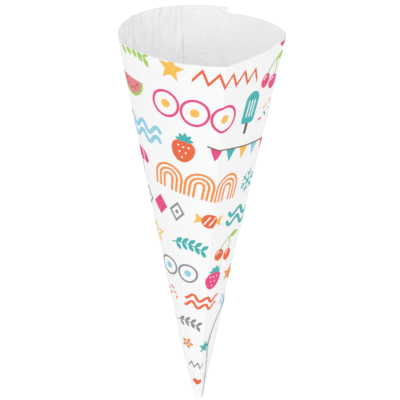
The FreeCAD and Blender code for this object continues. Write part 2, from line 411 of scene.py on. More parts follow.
def rounded(width, height, corner, centre=(0, 0)):
    """A rectangle with round corners: quarter circles joined by straight sides."""
    turn = np.linspace(0, np.pi / 2, 6)
    quarter = corner * np.column_stack([np.cos(turn), np.sin(turn)])
    inner = np.array([width / 2 - corner, height / 2 - corner])
    parts = []
    for quadrant, (sign_x, sign_y) in enumerate([(1, 1), (-1, 1), (-1, -1), (1, -1)]):
        cos, sin = math.cos(quadrant * np.pi / 2), math.sin(quadrant * np.pi / 2)
        turned = quarter @ np.array([[cos, sin], [-sin, cos]])
        parts.append(turned + inner * np.array([sign_x, sign_y]))
    return resample(np.vstack(parts) + np.array(centre), min(0.6, width / 6))


def leaf(length, width, turn, centre=(0, 0)):
    """A leaf: two curved sides whose distance is widest in the middle, as the sine of the way along."""
    way = np.linspace(0, 1, 12)
    half = width / 2 * np.sin(np.pi * way) ** 0.8
    sides = np.vstack([np.column_stack([way * length, half]), np.column_stack([way * length, -half])[::-1][1:-1]])
    cos, sin = math.cos(turn), math.sin(turn)
    return sides @ np.array([[cos, sin], [-sin, cos]]) + np.array(centre)


def wave(length, height, period, phase=0.0):
    """A sine wave along x."""
    across = np.linspace(-length / 2, length / 2, int(length / 0.5))
    return np.column_stack([across, height / 2 * np.sin(2 * np.pi * across / period + phase)])


def arc(radius, start, finish, centre=(0, 0), squash=1.0):
    """Part of a circle between two directions in degrees."""
    count = max(int(abs(math.radians(finish - start)) * radius / 0.5), 6)
    turn = np.radians(np.linspace(start, finish, count))
    return np.column_stack([centre[0] + radius * np.cos(turn), centre[1] + squash * radius * np.sin(turn)])


print("strokes are", LINE, "mm wide")

# %% Sweets and fruit
def ice_lolly(body="pink", stick="cocoa"):
    """A round-topped lolly on a stick, with three bare grooves."""
    shape = np.vstack([arc(3.4, 0, 180, (0, 2.4)), [[-3.4, -4.2]], [[-2.6, -5.0]], [[2.6, -5.0]], [[3.4, -4.2]]])
    grooves = [("paper", stroke(resample([[x, -2.6], [x, 2.6]], closed=False), 0.6)) for x in (-1.5, 0, 1.5)]
    return [(stick, rounded(1.5, 5.0, 0.7, (0, -6.2))), (body, resample(shape))] + grooves


def cherries(fruit="pink", green="lime"):
    """Two cherries on bent stalks that meet at a leaf."""
    way = np.linspace(0, 1, 16)
    one = np.column_stack([-2.9 + 4.4 * way ** 1.6, -1.0 + 5.6 * way])
    two = np.column_stack([2.8 - 1.3 * way ** 1.6, -1.8 + 6.4 * way])
    return [
        (green, stroke(one, 0.6)), (green, stroke(two, 0.6)), (green, leaf(5.2, 2.4, 0.35, (1.4, 4.5))),
        (fruit, disc(2.5, (-2.9, -2.4))), (fruit, disc(2.5, (2.8, -3.3))),
        ("paper", stroke(arc(1.5, 100, 160, (-2.9, -2.4)), 0.5)),
        ("paper", stroke(arc(1.5, 100, 160, (2.8, -3.3)), 0.5)),
    ]


def melon(flesh="salmon", rind="lime", seed="cocoa"):
    """A slice of melon: a half disc with a rind and five seeds."""
    half = np.vstack([arc(5.6, 180, 360, (0, 2.2)), [[5.6, 2.9]], [[-5.6, 2.9]]])
    inner = np.vstack([arc(4.6, 180, 360, (0, 2.2)), [[4.6, 2.9]], [[-4.6, 2.9]]])
    seeds = [(seed, leaf(1.1, 0.6, math.radians(turn), (2.4 * math.cos(math.radians(turn)),
                                                       2.2 + 2.4 * math.sin(math.radians(turn)))))
             for turn in (198, 234, 270, 306, 342)]
    return [(rind, resample(half)), (flesh, resample(inner))] + seeds


def strawberry(fruit="tangerine", green="teal"):
    """A strawberry: a rounded heart form with a leafy crown and bare pips."""
    turn = np.linspace(0, 2 * np.pi, 40, endpoint=False)
    shape = np.column_stack([4.2 * np.sin(turn) * (1 - 0.22 * np.cos(turn - np.pi) ** 2),
                             -4.8 * np.cos(turn) * (1 - 0.12 * np.cos(2 * turn)) - 0.6])
    shape[:, 0] *= 1 + 0.16 * shape[:, 1] / 4.8
    pips = [("paper", disc(0.35, place)) for place in ((-1.8, 1.2), (0, 0.9), (1.8, 1.2), (-1.1, -1.0),
                                                          (1.1, -1.0), (0, -3.0))]
    crown = [(green, leaf(3.2, 1.4, math.radians(way), (0, 3.3))) for way in (10, 50, 90, 130, 170)]
    return [(fruit, shape)] + pips + crown


def glass_cup(glass="sky", cream="yellow", dot="pink"):
    """A sundae glass with a heaped scoop and a berry."""
    bowl = resample([[-4.2, 1.2], [-3.0, -2.6], [-0.7, -3.8], [-0.7, -5.4], [-2.6, -6.2], [2.6, -6.2], [0.7, -5.4],
                     [0.7, -3.8], [3.0, -2.6], [4.2, 1.2]])
    return [(cream, disc(3.6, (0, 1.8))), (glass, bowl), (dot, disc(1.2, (0, 5.8)))]


def wrapped_sweet(body="teal", twist="sky"):
    """A wrapped sweet: a disc with two fan-shaped twists and bare stripes."""
    fans = [(twist, resample([[side * 2.4, 0.4], [side * 5.6, 2.4], [side * 5.0, 0], [side * 5.6, -2.4],
                              [side * 2.4, -0.4]])) for side in (-1, 1)]
    stripes = [("paper", stroke(resample([[x - 0.8, -1.7], [x + 0.8, 1.7]], closed=False), 0.5)) for x in (-1.0, 1.0)]
    return fans + [(body, disc(3.0))] + stripes


print("a lolly has", len(ice_lolly()), "outlines")

# %% Leaves, stars and other small signs
def sprig(ink="lime", count=5, length=13.0):
    """A bent stalk with pairs of leaves."""
    way = np.linspace(0, 1, 30)
    stalk = np.column_stack([length * (way - 0.5), 1.6 * np.sin(np.pi * way) - 0.8])
    parts = [(ink, stroke(stalk, 0.55))]
    for number in range(count):
        share = (number + 0.7) / count
        foot = (length * (share - 0.5), 1.6 * math.sin(math.pi * share) - 0.8)
        parts += [(ink, leaf(3.7, 1.7, 0.9, foot)), (ink, leaf(3.7, 1.7, -0.9, foot))]
    return parts


def star(ink="yellow", outer=4.0, inner=1.8, points=5):
    """A star: corners that step between two radii."""
    turn = np.pi / 2 + np.arange(points * 2) * np.pi / points
    reach = np.where(np.arange(points * 2) % 2, inner, outer)
    return [(ink, resample(np.column_stack([reach * np.cos(turn), reach * np.sin(turn)]), 0.7))]


def open_star(ink="orange"):
    """A star drawn as a line, with a small dot inside."""
    turn = np.pi / 2 + np.arange(10) * np.pi / 5
    wide = np.where(np.arange(10) % 2, 2.3, 4.9)
    slim = np.where(np.arange(10) % 2, 1.5, 3.3)
    return [(ink, resample(np.column_stack([wide * np.cos(turn), wide * np.sin(turn)]), 0.7)),
            ("paper", resample(np.column_stack([slim * np.cos(turn), slim * np.sin(turn)]), 0.6)),
            (ink, disc(0.7))]


def heart(ink="pink", size=3.6):
    """A heart: x is the cube of a sine, y a sum of cosines."""
    turn = np.linspace(0, 2 * np.pi, 44, endpoint=False)
    x = size * np.sin(turn) ** 3
    y = size * (13 * np.cos(turn) - 5 * np.cos(2 * turn) - 2 * np.cos(3 * turn) - np.cos(4 * turn)) / 16
    return [(ink, np.column_stack([x, y + 0.12 * size]))]


def flower(petal="teal", middle="yellow", petals=6, size=3.7):
    """A flower: the radius swells once for each petal."""
    turn = np.linspace(0, 2 * np.pi, 72, endpoint=False)
    reach = size * (0.76 + 0.24 * np.cos(petals * turn))
    return [(petal, np.column_stack([reach * np.cos(turn), reach * np.sin(turn)])), ("paper", disc(1.35)),
            (middle, disc(0.9))]


def snowflake(ink="sky", size=4.2):
    """Six arms with a pair of side branches each."""
    parts = []
    for arm in range(3):
        turn = math.radians(60 * arm + 30)
        way = np.array([math.cos(turn), math.sin(turn)])
        parts.append((ink, stroke(resample([-size * way, size * way], closed=False), 0.6)))
    for arm in range(6):
        turn = math.radians(60 * arm + 30)
        foot = 0.55 * size * np.array([math.cos(turn), math.sin(turn)])
        for side in (-0.9, 0.9):
            tip = foot + 0.38 * size * np.array([math.cos(turn + side), math.sin(turn + side)])
            parts.append((ink, stroke(resample([foot, tip], 0.4, closed=False), 0.5)))
    return parts


def parasol(shade="orange", stick="cocoa"):
    """A cocktail parasol: a shade with a scalloped hem, ribs and a bent stick."""
    turn = np.radians(np.linspace(180, 0, 30))
    dome = np.column_stack([5.2 * np.cos(turn), 4.4 * np.sin(turn)])
    hem = np.column_stack([np.linspace(5.2, -5.2, 33), -0.9 * np.abs(np.sin(np.linspace(0, 4 * np.pi, 33)))])
    ribs = [("paper", stroke(np.column_stack([side * 2.6 * np.sin(np.linspace(0.15, 1.5, 12)),
                                              4.2 * np.cos(np.linspace(0.15, 1.5, 12))]), 0.45)) for side in (-1, 1)]
    return [(stick, stroke(resample([[0.2, 0], [0.8, -6.4]], closed=False), 0.7)),
            (shade, np.vstack([dome, hem[1:-1]]))] + ribs


def shell(ink="sky"):
    """A scallop shell: a fan of ribs with a wavy rim."""
    turn = np.radians(np.linspace(20, 160, 50))
    reach = 5.6 + 0.45 * np.cos(6 * (turn - np.pi / 2) * 180 / 70)
    fan = np.column_stack([reach * np.cos(turn), reach * np.sin(turn) - 2.4])
    shape = np.vstack([fan, [[-1.4, -2.4]], [[-1.8, -3.4]], [[1.8, -3.4]], [[1.4, -2.4]]])
    ribs = [("paper", stroke(resample([[0.9 * math.cos(math.radians(way)), 0.9 * math.sin(math.radians(way)) - 2.4],
                                       [4.6 * math.cos(math.radians(way)), 4.6 * math.sin(math.radians(way)) - 2.4]],
                                      closed=False), 0.45)) for way in (45, 67, 90, 113, 135)]
    return [(ink, resample(shape, 0.5))] + ribs


print("a snowflake has", len(snowflake()), "strokes")

# %% Bands and blocks
def arches(ink="tangerine", count=3, pitch=11.5, rings=(5.0, 3.3, 1.6), leg=4.6):
    """Nested arches side by side, each a half circle on two straight legs."""
    parts = []
    for number in range(count):
        middle = (number - (count - 1) / 2) * pitch
        for radius in rings:
            path = np.vstack([[[middle + radius, -leg]], arc(radius, 0, 180, (middle, 0)), [[middle - radius, -leg]]])
            parts.append((ink, stroke(resample(path, closed=False), 0.9)))
    return parts


def rings(ink="tangerine", count=3, pitch=9.6, radius=4.3, dot="orange"):
    """A row of rings with a dot in each."""
    parts = []
    for number in range(count):
        middle = (number - (count - 1) / 2) * pitch
        parts += loop(ink, disc(radius, (middle, 0)), 0.9)
        parts.append((dot, disc(1.5, (middle, 0))))
    return parts


def waves(ink="teal", length=38.0, lines=2, width=1.5, height=3.2, period=9.5):
    """Thick waves, one above the other."""
    rise = [(number - (lines - 1) / 2) * 3.6 for number in range(lines)]
    return [(ink, stroke(wave(length, height, period) + [0, up], width)) for up in rise]


def zigzag(ink="grey", length=26.0, height=4.2, period=5.2, width=1.0):
    """A zigzag line with sharp corners: the same corners, moved up and down by most of the width."""
    count = int(length / period * 2)
    x = (np.arange(count + 1) - count / 2) * period / 2
    y = np.where(np.arange(count + 1) % 2, 0.5, -0.5) * height
    top = np.column_stack([x, y + width * 0.8])
    low = np.column_stack([x, y - width * 0.8])[::-1]
    return [(ink, resample(np.vstack([top, low]), 0.7))]


def diamonds(ink="grey", other="salmon", count=4, pitch=7.4, size=4.4):
    """Diamonds in a row, by turns filled and drawn as a line."""
    parts = []
    for number in range(count):
        middle = np.array([(number - (count - 1) / 2) * pitch, 0])
        corner = np.array([[0.72, 0], [0, 1], [-0.72, 0], [0, -1]])
        parts.append((other if number % 2 else ink, resample(corner * size + middle, 0.6)))
        if number % 2 == 0:
            parts.append(("paper", resample(corner * size * 0.68 + middle, 0.6)))
            parts.append((ink, resample(corner * size * 0.26 + middle, 0.5)))
    return parts


def bunting(flags=("pink", "teal", "yellow", "sky", "tangerine"), pitch=6.4, size=4.6):
    """Little flags on a sagging string."""
    length = pitch * len(flags)
    way = np.linspace(-1, 1, 60)
    string = np.column_stack([way * length / 2, 2.2 + 1.4 * way ** 2])
    parts = []
    for number, ink in enumerate(flags):
        middle = (number - (len(flags) - 1) / 2) * pitch
        top = 2.2 + 1.4 * (middle * 2 / length) ** 2
        parts.append((ink, resample([[middle - 2.3, top], [middle + 2.3, top], [middle, top - size]], 0.6)))
    return parts + [("cocoa", stroke(string, 0.5))]


def beads(inks=("sky", "teal", "lime"), count=9, pitch=3.6):
    """A row of dots, large and small by turns."""
    return [(inks[number % len(inks)], disc(1.35 if number % 2 else 0.85, ((number - (count - 1) / 2) * pitch, 0)))
            for number in range(count)]


def chocolate(ink="cocoa", columns=4, rows=2, cell=4.3):
    """A bar of chocolate: squares drawn as lines, with a small square in each."""
    parts = []
    for column in range(columns):
        for row in range(rows):
            middle = ((column - (columns - 1) / 2) * cell, (row - (rows - 1) / 2) * cell)
            parts += [(ink, rounded(cell - 0.35, cell - 0.35, 0.8, middle)),
                      ("paper", rounded(cell - 1.35, cell - 1.35, 0.5, middle)),
                      (ink, rounded(cell - 2.5, cell - 2.5, 0.4, middle))]
    return parts


def dotted_block(ink="salmon", width=22.0, height=7.6, dots=5):
    """A solid block with a row of bare flowers in it."""
    parts = [(ink, rounded(width, height, 0.6))]
    for number in range(dots):
        middle = (number - (dots - 1) / 2) * width / (dots + 0.2)
        turn = np.linspace(0, 2 * np.pi, 40, endpoint=False)
        reach = 1.65 * (0.74 + 0.26 * np.cos(5 * turn))
        parts += [("paper", np.column_stack([middle + reach * np.cos(turn), reach * np.sin(turn)])),
                  (ink, disc(0.5, (middle, 0)))]
    return parts


def sprinkles(inks=("pink", "yellow", "teal", "orange", "sky"), count=9, spread=(12.0, 6.5), seed=3):
    """Short capsules scattered evenly: each in its own column, turned by chance."""
    chance = np.random.default_rng(seed)
    parts = []
    for number in range(count):
        middle = np.array([(number + 0.5) / count - 0.5, ((number * 0.618) % 1) - 0.5]) * spread
        turn = chance.uniform(0, np.pi)
        half = 0.75 * np.array([math.cos(turn), math.sin(turn)])
        capsule = stroke(resample([middle - half, middle + half], 0.5, closed=False), 0.8)
        parts.append((inks[number % len(inks)], capsule))
    return parts


print("a band of arches has", len(arches()), "strokes")

# %% [markdown]
# ## The layout
# Motifs stand in slanting rows that wind down to the right. Each row has a depth below the rim at the crease, a
# starting place to the left of the crease, a gap, a size and its motifs from left to right. A row is repeated
# until it has gone all the way round, and the rim cuts off what stands above it. Rows get smaller towards the
# tip, as the paper does, and near the tip the strip beside the free edge stays bare.

# %% Rows of motifs
def turned(parts, degrees, size=1.0):
    """A motif turned about its middle."""
    cos, sin = math.cos(math.radians(degrees)), math.sin(math.radians(degrees))
    return [(ink, shape @ np.array([[cos, sin], [-sin, cos]]) * size) for ink, shape in parts]


def centred(parts, size=1.0):
    """A motif moved so that its middle is at zero, and scaled."""
    every = np.vstack([shape for _, shape in parts])
    middle = (every.min(0) + every.max(0)) / 2
    return [(ink, (shape - middle) * size) for ink, shape in parts]


ROWS = [
    (-10.0, 30.0, 3.4, 1.2, [
        heart("pink", 3.9), waves("orange", 26.0, 2, 1.5, 3.2, 8.5), snowflake(), cherries(),
        arches("teal", 2, 11.4)]),
    (6.5, 49.0, 3.4, 1.2, [
        sprig("lime"), star("yellow", 4.6, 2.1), zigzag("tangerine", 26.0), cherries(),
        flower("sky", "orange", 7, 4.4), heart("pink"), waves("teal", 17.0, 2, 1.4, 3.0, 8.5), parasol("orange"),
        bunting()]),
    (22.5, 47.0, 3.4, 1.2, [
        melon(), rings("pink", 3, 9.8, 4.4, "yellow"), ice_lolly("teal"), sprinkles(), open_star("orange"),
        snowflake(), arches("tangerine", 3, 11.4), strawberry()]),
    (38.5, 47.0, 3.4, 1.15, [
        waves("sky", 19.0, 2, 1.5, 3.2, 6.4), strawberry(), bunting(), flower("lime", "yellow", 7, 4.6),
        parasol("teal"), diamonds("tangerine", "sky", 4), star("yellow", 4.4, 2.0)]),
    (53.5, 41.0, 3.2, 1.1, [
        parasol("pink", "grey"), arches("orange", 3, 11.4), snowflake("teal"),
        glass_cup("sky", "salmon", "tangerine"), sprig("olive", 6, 16.0), heart("tangerine"), zigzag("grey", 18.0)]),
    (68.0, 34.0, 3.2, 1.05, [
        diamonds("grey", "pink", 3), wrapped_sweet("tangerine", "yellow"), waves("teal", 24.0, 2, 1.5, 3.0, 8.0),
        melon(), beads(("orange", "lime", "pink"), 7), shell()]),
    (81.5, 30.0, 3.0, 1.0, [
        open_star("yellow"), sprig("teal"), cherries("tangerine", "lime"), zigzag("orange", 16.0, 4.0, 5.0, 0.9),
        flower("salmon", "yellow"), sprinkles(("lime", "sky", "pink"), 9, (11, 7), 5)]),
    (94.5, 22.0, 2.8, 0.95, [
        rings("grey", 2, 9.2, 4.0, "sky"), strawberry("pink"), star("orange", 4.2, 1.9),
        dotted_block("teal", 14.0, 7.0, 3), heart("salmon"), wrapped_sweet("lime", "olive")]),
    (106.5, 19.0, 2.6, 0.9, [
        sprinkles(("pink", "salmon", "orange"), 6, (7, 6), 8), waves("tangerine", 15.0, 2, 1.3, 2.8, 6.0),
        snowflake("sky", 3.8), flower("yellow", "pink", 5), chocolate("cocoa", 2, 2)]),
    (117.5, 13.0, 2.2, 0.8, [
        sprig("grey", 4, 12.0), cherries("tangerine", "teal"), heart("sky"),
        arches("salmon", 1, 8.2, (3.4, 1.9), 2.6)]),
    (127.6, 9.0, 2.0, 0.7, [
        flower("orange", "grey", 5), star("teal", 4.2, 1.9), diamonds("olive", "grey", 2), heart("pink")]),
    (137.0, 6.0, 1.8, 0.6, [
        zigzag("grey", 10.0, 4.0, 4.0, 1.2), star("yellow"), flower("teal", "yellow", 5)]),
    (145.4, 4.0, 2.0, 0.5, [heart("tangerine"), waves("sky", 9.0, 1, 1.8, 3.6, 6.0)]),
]
SLANT = 0.16
BARE_BELOW = 112.0


def lay_row(depth, start, gap, size, motifs):
    """Outlines of one row: y adds to the distance from the apex, and x divided by it is the turn.

    As the row goes right it comes nearer to the apex, by the slant times the way gone.
    """
    far = float(rim_far(CREASE)) - depth
    motifs = [turned(centred(parts, size), -math.degrees(math.atan(SLANT))) for parts in motifs]
    halves = [np.vstack([shape for _, shape in parts])[:, 0].max() for parts in motifs]
    low, high = float(inner_edge(far)) - CREASE, float(outer_edge(far)) - CREASE
    if depth > BARE_BELOW:
        low, high = 0.0, FULL - 0.1 - CREASE
    laid = []
    for heading, first in ((-1, 0), (1, -1)):
        place = start / far
        number = first
        while low < place < high:
            way = heading * (halves[number % len(motifs)] + gap / 2) / far
            here = far * (1 + SLANT * (place + way))
            for ink, shape in motifs[number % len(motifs)]:
                laid.append((ink, here + shape[:, 1], CREASE + place + way - shape[:, 0] / here))
            place += 2 * way
            number -= heading
    return laid


print_outlines = [entry for row in ROWS for entry in lay_row(*row)]
print("outlines on the blank", len(print_outlines))

# %% [markdown]
# ## Cutting the blank into triangles
# The flat blank is cut along every outline of the print and along the crease, so each triangle lies wholly in
# one ink and all edges of the print stay sharp. Blender's constrained Delaunay function does this. The blank's
# own edges are outlines too, and evenly spaced points inside let the paper bend smoothly.

# %% Edges and inner points of the blank
TIP_FAR = float(far_at_height(0.0, CREASE))
RIM_START_FAN = -0.045
RIM_END_FAR = 158.0
TOP_ROW_FAR = 157.5
RIM_MARGIN = 0.8
CREASE_MARGIN = 0.45


def flat(far, fan):
    """Place on the flat blank: the distance from the apex in the direction of the fan angle."""
    return np.column_stack([far * np.cos(fan), far * np.sin(fan)])


def blank_border(up_count=130, rim_count=380, down_count=220, tip_count=44):
    """The blank's outline: up the inner free edge, along the rim, down the outer free edge, across the tip."""
    up = np.linspace(TIP_FAR, float(rim_far(RIM_START_FAN)), up_count)
    inner = np.column_stack([up, inner_edge(up)])
    top = np.linspace(inner[-1, 1], float(outer_edge(RIM_END_FAR)), rim_count)
    rim = np.column_stack([rim_far(top), top])
    down = np.linspace(rim[-1, 0], TIP_FAR, down_count)
    outer = np.column_stack([down, outer_edge(down)])
    tip = np.linspace(outer[-1, 1], inner[0, 1], tip_count)
    bottom = np.column_stack([np.full(len(tip), TIP_FAR), tip])
    return np.vstack([inner[:-1], rim[:-1], outer[:-1], bottom[:-1]])


def inner_points(row_step=1.7, column_step=0.85):
    """Staggered rows of points between the free edges."""
    rows = []
    levels = np.arange(TIP_FAR + RIM_MARGIN, TOP_ROW_FAR, row_step)
    for number, far in enumerate(levels):
        low, high = float(inner_edge(far)), float(outer_edge(far))
        count = max(int((high - low) * far / column_step), 40)
        share = (np.arange(count) + 0.5 * (number % 2) + 0.25) / count
        fan = low + share * (high - low)
        keep = (far < rim_far(fan) - RIM_MARGIN) & (np.abs(fan - CREASE) * far > CREASE_MARGIN)
        rows.append(np.column_stack([np.full(keep.sum(), far), fan[keep]]))
    return np.vstack(rows)


border = blank_border()
crease_far = np.linspace(TIP_FAR, float(rim_far(CREASE)), 110)
print("border points", len(border))

# %% Cut the blank
CUT_TOLERANCE = 1e-4


def cut_blank():
    """Triangles of the blank and the points they use, as distances and fan angles."""
    chains = [(border, True), (np.column_stack([crease_far, np.full(len(crease_far), CREASE)]), False)]
    chains += [(np.column_stack([far, fan]), True) for _, far, fan in print_outlines]
    points, edges, count = [], [], 0
    for chain, closed in chains:
        index = np.arange(count, count + len(chain))
        edges.append(np.column_stack([index, np.roll(index, -1)])[:None if closed else -1])
        points.append(chain)
        count += len(chain)
    points.append(inner_points())
    every = np.vstack(points)
    places = [Vector(place) for place in flat(every[:, 0], every[:, 1]).tolist()]
    cut = delaunay_2d_cdt(places, np.vstack(edges).tolist(), [], 0, CUT_TOLERANCE, False)
    place = np.array([tuple(point) for point in cut[0]])
    return np.hypot(place[:, 0], place[:, 1]), np.arctan2(place[:, 1], place[:, 0]), np.array(cut[2])


vertex_far, vertex_fan, triangles = cut_blank()
middle_place = flat(vertex_far, vertex_fan)[triangles].mean(1)
print("triangles before trimming", len(triangles))

# %% [markdown]
# A triangle belongs to the blank, or to an outline of the print, when a line from its middle crosses the outline
# an odd number of times. That test runs on all triangles at once.

# %% Ink of each triangle
PLACES_AT_ONCE = 4000


def inside(place, shape):
    """Odd-even test: counts the sides of the outline that a line to the right of each place crosses."""
    start, finish = shape, np.roll(shape, -1, axis=0)
    low = np.minimum(start[:, 1], finish[:, 1])
    high = np.maximum(start[:, 1], finish[:, 1])
    box = (place[:, 0] <= shape[:, 0].max()) & (place[:, 1] >= low.min()) & (place[:, 1] <= high.max())
    box &= place[:, 0] >= shape[:, 0].min()
    result = np.zeros(len(place), bool)
    near, near_index = place[box], np.flatnonzero(box)
    for first in range(0, len(near), PLACES_AT_ONCE):
        some = near[first:first + PLACES_AT_ONCE]
        spans = (some[:, 1:2] >= low) & (some[:, 1:2] < high)
        rise = np.where(finish[:, 1] == start[:, 1], 1.0, finish[:, 1] - start[:, 1])
        cross = start[:, 0] + (some[:, 1:2] - start[:, 1]) / rise * (finish[:, 0] - start[:, 0])
        result[near_index[first:first + PLACES_AT_ONCE]] = (spans & (cross > some[:, 0:1])).sum(1) % 2 == 1
    return result


in_blank = inside(middle_place, flat(border[:, 0], border[:, 1]))
triangles = triangles[in_blank]
middle_place = middle_place[in_blank]
INK_NAMES = list(INKS)
ink_index = np.zeros(len(triangles), int)
for ink, far, fan in print_outlines:
    ink_index[inside(middle_place, flat(far, fan))] = INK_NAMES.index(ink)
print("triangles of the blank", len(triangles), "printed", int((ink_index > 0).sum()))

# %% [markdown]
# ## Rolling the sheet up
# The same triangles make both faces of the sheet: the printed outside and the bare inside, one paper thickness
# apart. A narrow strip of wall joins them along the whole border, so the sheet is a closed body. Exact normals
# come from the rolling formula, which keeps the crease sharp and everything else smooth.

# %% Build the sheet
used = np.unique(triangles)
renumber = np.full(len(vertex_far), -1)
renumber[used] = np.arange(len(used))
triangles = renumber[triangles]
vertex_far, vertex_fan = vertex_far[used], vertex_fan[used]
corners = flat(vertex_far, vertex_fan)[triangles]
turning = np.cross(corners[:, 1] - corners[:, 0], corners[:, 2] - corners[:, 0])
triangles[turning < 0] = triangles[turning < 0][:, ::-1]


def border_pairs(faces):
    """Directed sides that only one triangle has: those form the border."""
    sides = np.vstack([faces[:, [0, 1]], faces[:, [1, 2]], faces[:, [2, 0]]])
    key = np.sort(sides, axis=1)
    _, index, count = np.unique(key, axis=0, return_index=True, return_counts=True)
    return sides[index[count == 1]]


rim_sides = border_pairs(triangles)
COUNT = len(used)
outside = roll(vertex_far, vertex_fan, 0.0)
inside_face = roll(vertex_far, vertex_fan, -PAPER)
walls = np.column_stack([rim_sides[:, 1], rim_sides[:, 0], rim_sides[:, 0] + COUNT, rim_sides[:, 1] + COUNT])
print("sheet points", 2 * COUNT, "border sides", len(rim_sides))

# %% Make the mesh
CREASE_REACH = 0.02


def make_mesh(name, places, triangle_faces, quad_faces):
    """A mesh from whole arrays of places, triangles and four-sided faces."""
    mesh = bpy.data.meshes.new(name)
    mesh.vertices.add(len(places))
    mesh.vertices.foreach_set("co", places.astype(np.float32).ravel())
    loops = np.concatenate([triangle_faces.ravel(), quad_faces.ravel()]).astype(np.int32)
    starts = np.concatenate([np.arange(len(triangle_faces)) * 3,
                             len(triangle_faces) * 3 + np.arange(len(quad_faces)) * 4]).astype(np.int32)
    mesh.loops.add(len(loops))
    mesh.loops.foreach_set("vertex_index", loops)
    mesh.polygons.add(len(starts))
    mesh.polygons.foreach_set("loop_start", starts)
    mesh.update(calc_edges=True)
    return mesh


all_triangles = np.vstack([triangles, triangles[:, ::-1] + COUNT])
sheet_places = np.vstack([outside, inside_face])
sheet_mesh = make_mesh("paper_cone", sheet_places, all_triangles, walls)
material_of_face = np.concatenate([ink_index, np.zeros(len(triangles) + len(walls), int)])
sheet_mesh.polygons.foreach_set("material_index", material_of_face.astype(np.int32))
sheet_mesh.polygons.foreach_set("use_smooth", np.ones(len(material_of_face), bool))

middle_fan = np.arctan2(middle_place[:, 1], middle_place[:, 0])
side_of_crease = np.where(middle_fan > CREASE, 1.0, -1.0)
corner_side = np.repeat(side_of_crease, 3)
corner_far, corner_fan = vertex_far[triangles].ravel(), vertex_fan[triangles].ravel()
on_crease = np.abs(corner_fan - CREASE) * corner_far < CREASE_REACH
outer_normals = facing(corner_far, corner_fan, np.where(on_crease, 2.0 * corner_side, 0.0))
inner_normals = -outer_normals.reshape(-1, 3, 3)[:, ::-1].reshape(-1, 3)
wall_places = sheet_places[walls]
wall_facing = np.cross(wall_places[:, 1] - wall_places[:, 0], wall_places[:, 3] - wall_places[:, 0])
wall_facing /= np.maximum(np.linalg.norm(wall_facing, axis=1), 1e-15)[:, None]
corner_normals = np.vstack([outer_normals, inner_normals, np.repeat(wall_facing, 4, axis=0)])
sheet_mesh.normals_split_custom_set(corner_normals.astype(np.float32))
closed = np.vstack([all_triangles, walls[:, [0, 1, 2]], walls[:, [0, 2, 3]]])
first, second, third = (sheet_places[closed[:, number]] / MM for number in range(3))
volume = (first * np.cross(second, third)).sum() / 6
print("faces", len(sheet_mesh.polygons), "paper in cubic millimetres", round(float(volume)))

# %% [markdown]
# ## The map
# A flat map is the blank itself: the printed outside fills most of the square, the bare inside sits smaller
# in an empty corner, and the thin walls lie as a strip along the top. Two more numbers go with each point. One
# marks the lap, which a roller crimps, and the other marks the paper beside it, which the rolling draws into
# fine streaks.

# %% Map of the sheet
MAP_WIDTH = 0.97
BLANK_REACH = 160.0
BLANK_HALF_ANGLE = 0.73
MAP_SCALE = MAP_WIDTH / (2 * BLANK_REACH * math.sin(BLANK_HALF_ANGLE))
LAP_END = 0.07
MIDDLE_FAN = (FULL + LAP_END) / 2
INSIDE_SCALE = 0.30 / BLANK_REACH
INSIDE_EDGE = 0.01
STRIP_LEFT, STRIP_WIDTH, STRIP_LOW, STRIP_TOP = 0.02, 0.96, 0.965, 0.985


def map_outside(far, fan):
    """The blank, turned so that its apex is at the bottom middle."""
    return np.column_stack([0.5 - far * np.sin(fan - MIDDLE_FAN) * MAP_SCALE,
                            far * np.cos(fan - MIDDLE_FAN) * MAP_SCALE])


def map_inside(far, fan):
    """The blank again, smaller and a little narrower, with its apex in the bottom left corner."""
    turn = 0.07 + (fan + 0.30) * 0.85
    return INSIDE_EDGE + np.column_stack([far * np.cos(turn), far * np.sin(turn)]) * INSIDE_SCALE


def mark(name, values):
    """A number for each point of both faces, for the finish to read."""
    attribute = sheet_mesh.attributes.new(name, "FLOAT", "POINT")
    attribute.data.foreach_set("value", np.concatenate([values, values]).astype(np.float32))


# %% Marks for the crimped lap and the drawn streaks
CRIMP_RIGHT, CRIMP_LEFT = 72.0, -257.0
DRAWN_FADE = 45.0

crimped = soft_step(fan_at(CRIMP_RIGHT) - vertex_fan, -0.002, 0.004)
crimped += soft_step(vertex_fan - fan_at(CRIMP_LEFT), -0.002, 0.004)
mark("crimped", np.clip(crimped, 0, 1))
way_round = vertex_fan / FULL
drawn = soft_step(way_round, 0.76, 0.80) * (1 - soft_step(way_round, 0.955, 0.975))
mark("drawn", drawn * np.exp(-(rim_far(vertex_fan) - vertex_far) / DRAWN_FADE))
print("share of points in the crimped lap", round(float(crimped.clip(0, 1).mean()), 3))

# %% Put the map on the sheet
uv_layer = sheet_mesh.uv_layers.new(name="OFBake")
outer_uv = map_outside(corner_far, corner_fan)
inner_uv = map_inside(vertex_far[triangles[:, ::-1]].ravel(), vertex_fan[triangles[:, ::-1]].ravel())
wall_number = np.arange(len(walls)) / len(walls)
wall_left = STRIP_LEFT + STRIP_WIDTH * wall_number
wall_right = STRIP_LEFT + STRIP_WIDTH * (wall_number + 1 / len(walls))
strip_top, strip_low = np.full(len(walls), STRIP_TOP), np.full(len(walls), STRIP_LOW)
wall_uv = np.stack([np.column_stack([wall_left, strip_top]), np.column_stack([wall_right, strip_top]),
                    np.column_stack([wall_right, strip_low]), np.column_stack([wall_left, strip_low])],
                   axis=1).reshape(-1, 2)
uv_layer.data.foreach_set("uv", np.vstack([outer_uv, inner_uv, wall_uv]).astype(np.float32).ravel())
print("map reaches", outer_uv.min(0), outer_uv.max(0))

# %% [markdown]
# ## The finish
# The paper is uncoated on the inside and lightly sized on the outside: matt, very slightly mottled, with fine
# fibres that only show in grazing light. The inks are thin and matt as well, so each ink shares the paper's
# fibre and has a little mottle of its own.

